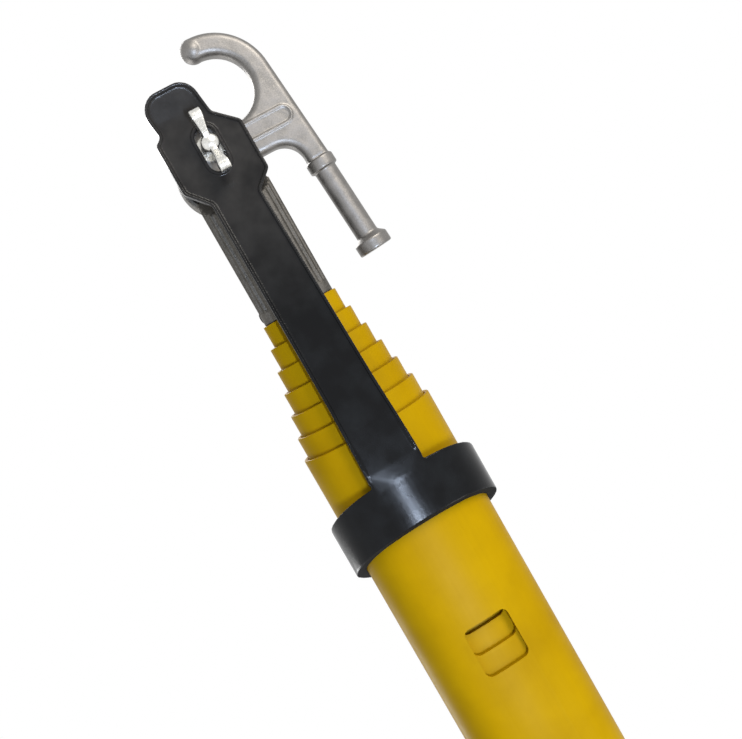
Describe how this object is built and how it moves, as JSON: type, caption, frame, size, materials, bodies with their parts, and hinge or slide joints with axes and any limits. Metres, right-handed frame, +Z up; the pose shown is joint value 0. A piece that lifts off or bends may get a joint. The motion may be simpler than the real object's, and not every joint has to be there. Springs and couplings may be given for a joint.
{
  "type": "lineman hot stick",
  "caption": "Telescopic hot stick with nested rounded-triangle fibreglass sections, button locks, a swivelling cast disconnect hook with a prong, and a rubber retaining strap.",
  "frame": {"origin": "centre of the butt cap's flat face, on the stick's centre line", "axes": "+Z up the stick from butt to hook, +X towards the hook's mouth and prong, -Y the side of the windows, strap and wing bolt"},
  "size_m": [0.0972, 0.0799, 1.7036],
  "materials": {
    "glass_fibre_yellow": "semi-gloss pigmented fibreglass, fine wear lines along the stick",
    "rubber_black": "matt moulded rubber",
    "strap_rubber": "smooth semi-gloss moulded rubber",
    "cast_aluminium": "sand-cast and tumbled, satin",
    "bright_steel": "bright plated",
    "pin_steel": "dull steel",
    "spring_steel": "spring strip",
    "nylon_plug": "moulded nylon",
    "button_plastic": "moulded acetal"
  },
  "bodies": {
    "root": {"butt_cap": "rubber_black", "butt_pad": "rubber_black", "base_section": "glass_fibre_yellow", "strap_collar": "strap_rubber"},
    "section_2": {"section_2": "glass_fibre_yellow", "plug_2": "nylon_plug", "button_spring_2": "spring_steel"},
    "section_3": {"section_3": "glass_fibre_yellow", "plug_3": "nylon_plug", "button_spring_3": "spring_steel"},
    "section_4": {"section_4": "glass_fibre_yellow", "plug_4": "nylon_plug", "button_spring_4": "spring_steel"},
    "section_5": {"section_5": "glass_fibre_yellow", "plug_5": "nylon_plug", "button_spring_5": "spring_steel"},
    "section_6": {"section_6": "glass_fibre_yellow", "plug_6": "nylon_plug", "button_spring_6": "spring_steel"},
    "tip": {"tip_section": "glass_fibre_yellow", "plug_7": "nylon_plug", "button_spring_7": "spring_steel", "tip_adapter": "cast_aluminium", "adapter_pins": "pin_steel"},
    "button_2": {"button_2": "button_plastic"},
    "button_3": {"button_3": "button_plastic"},
    "button_4": {"button_4": "button_plastic"},
    "button_5": {"button_5": "button_plastic"},
    "button_6": {"button_6": "button_plastic"},
    "button_7": {"button_7": "button_plastic"},
    "hook": {"hook_head": "cast_aluminium"},
    "washer": {"bolt_washer": "bright_steel"},
    "wing_bolt": {"wing_bolt": "bright_steel"},
    "strap_arm": {"strap_arm": "strap_rubber"}
  },
  "joints": [
    {"name": "extend_2", "type": "slide", "parent": "root", "child": "section_2", "axis": [0, 0, 1], "range_m": [0, 1.3197]},
    {"name": "extend_3", "type": "slide", "parent": "section_2", "child": "section_3", "axis": [0, 0, 1], "range_m": [0, 1.2804]},
    {"name": "extend_4", "type": "slide", "parent": "section_3", "child": "section_4", "axis": [0, 0, 1], "range_m": [0, 1.2411]},
    {"name": "extend_5", "type": "slide", "parent": "section_4", "child": "section_5", "axis": [0, 0, 1], "range_m": [0, 1.2018]},
    {"name": "extend_6", "type": "slide", "parent": "section_5", "child": "section_6", "axis": [0, 0, 1], "range_m": [0, 1.1625]},
    {"name": "extend_7", "type": "slide", "parent": "section_6", "child": "tip", "axis": [0, 0, 1], "range_m": [0, 1.1232]},
    {"name": "button_press_2", "type": "slide", "parent": "section_2", "child": "button_2", "axis": [0, 1, 0], "range_m": [0, 0.0025], "stiffness_N_per_m": 2000, "springref_m": -0.003, "deforming": ["button_spring_2"]},
    {"name": "button_press_3", "type": "slide", "parent": "section_3", "child": "button_3", "axis": [0, 1, 0], "range_m": [0, 0.0025], "stiffness_N_per_m": 2000, "springref_m": -0.003, "deforming": ["button_spring_3"]},
    {"name": "button_press_4", "type": "slide", "parent": "section_4", "child": "button_4", "axis": [0, 1, 0], "range_m": [0, 0.0025], "stiffness_N_per_m": 2000, "springref_m": -0.003, "deforming": ["button_spring_4"]},
    {"name": "button_press_5", "type": "slide", "parent": "section_5", "child": "button_5", "axis": [0, 1, 0], "range_m": [0, 0.0025], "stiffness_N_per_m": 2000, "springref_m": -0.003, "deforming": ["button_spring_5"]},
    {"name": "button_press_6", "type": "slide", "parent": "section_6", "child": "button_6", "axis": [0, 1, 0], "range_m": [0, 0.0025], "stiffness_N_per_m": 2000, "springref_m": -0.003, "deforming": ["button_spring_6"]},
    {"name": "button_press_7", "type": "slide", "parent": "tip", "child": "button_7", "axis": [0, 1, 0], "range_m": [0, 0.0025], "stiffness_N_per_m": 2000, "springref_m": -0.003, "deforming": ["button_spring_7"]},
    {"name": "hook_swing", "type": "hinge", "parent": "tip", "child": "hook", "pos_m": [0, -0.008, 1.652], "axis": [0, -1, 0], "range_deg": [0, 150]},
    {"name": "bolt_travel", "type": "slide", "parent": "tip", "child": "washer", "axis": [0, -1, 0], "range_m": [0, 0.003]},
    {"name": "bolt_turn", "type": "hinge", "parent": "washer", "child": "wing_bolt", "pos_m": [0, -0.02, 1.652], "axis": [0, -1, 0], "range_deg": [0, 1080]},
    {"name": "strap_open", "type": "hinge", "parent": "root", "child": "strap_arm", "pos_m": [0, -0.03351, 1.4791], "axis": [1, 0, 0], "range_deg": [0, 110], "deforming": ["strap_arm"]}
  ],
  "couplings": [
    {"joint": "bolt_turn", "follows": "bolt_travel", "rad_per_m": 6283.2}
  ]
}
